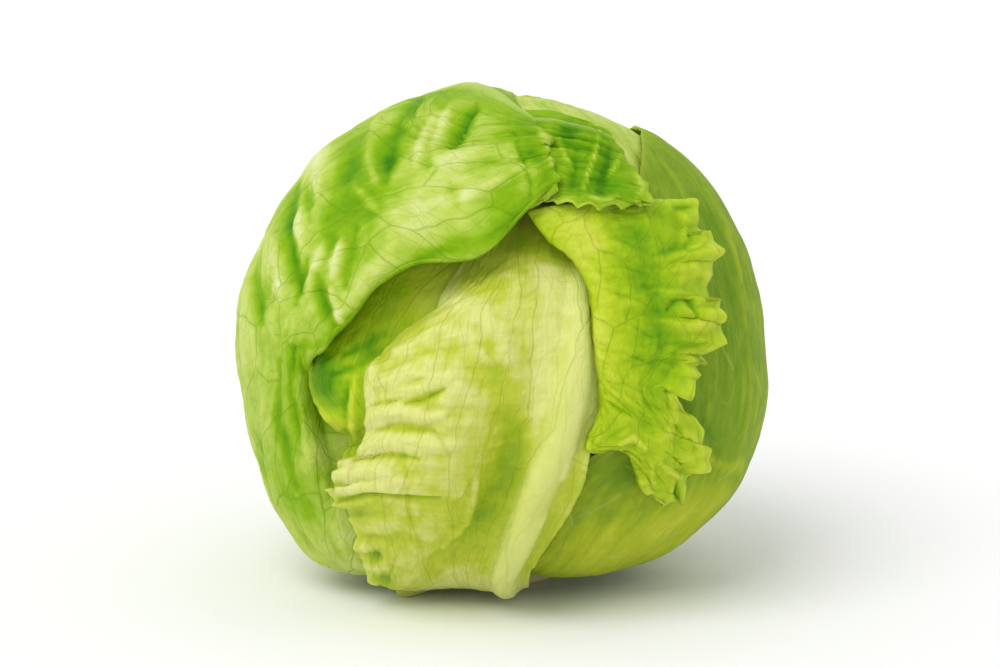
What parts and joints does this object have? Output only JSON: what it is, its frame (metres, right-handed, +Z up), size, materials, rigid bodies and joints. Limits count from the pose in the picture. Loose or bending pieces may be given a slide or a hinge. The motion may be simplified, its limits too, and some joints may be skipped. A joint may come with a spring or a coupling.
{
  "type": "head of iceberg lettuce",
  "caption": "Round dense head of iceberg lettuce: a trimmed stem, a tight heart, and loose wrapper leaves with waved and toothed margins.",
  "frame": {"origin": "centre of the stem's cut face, on the surface the head stands on", "axes": "+Z up through the stem and heart; -Y towards the front, where the bare pale leaf shows; +X to the right of that front"},
  "size_m": [0.1603, 0.1674, 0.1486],
  "materials": {
    "outer_leaf": "waxy fresh leaf, yellow green",
    "crown_leaf": "waxy fresh leaf, yellow green",
    "shade_leaf": "waxy fresh leaf, darker hazy green",
    "frill_leaf": "thin fresh leaf, bright yellow green",
    "pale_leaf": "crisp pale leaf with a broad whitish rib",
    "inner_leaf": "crisp pale inner leaf",
    "heart_leaf": "crisp pale heart leaves, tightly wrapped",
    "cut_stem": "moist cut stem, cream, browning at its rim"
  },
  "bodies": {
    "root": {"stem": "cut_stem", "heart": "heart_leaf", "leaf_hood": "outer_leaf", "leaf_front": "pale_leaf", "leaf_frill": "frill_leaf", "leaf_right": "shade_leaf", "leaf_bulge": "inner_leaf", "leaf_back": "outer_leaf", "leaf_crown": "crown_leaf"}
  },
  "joints": []
}
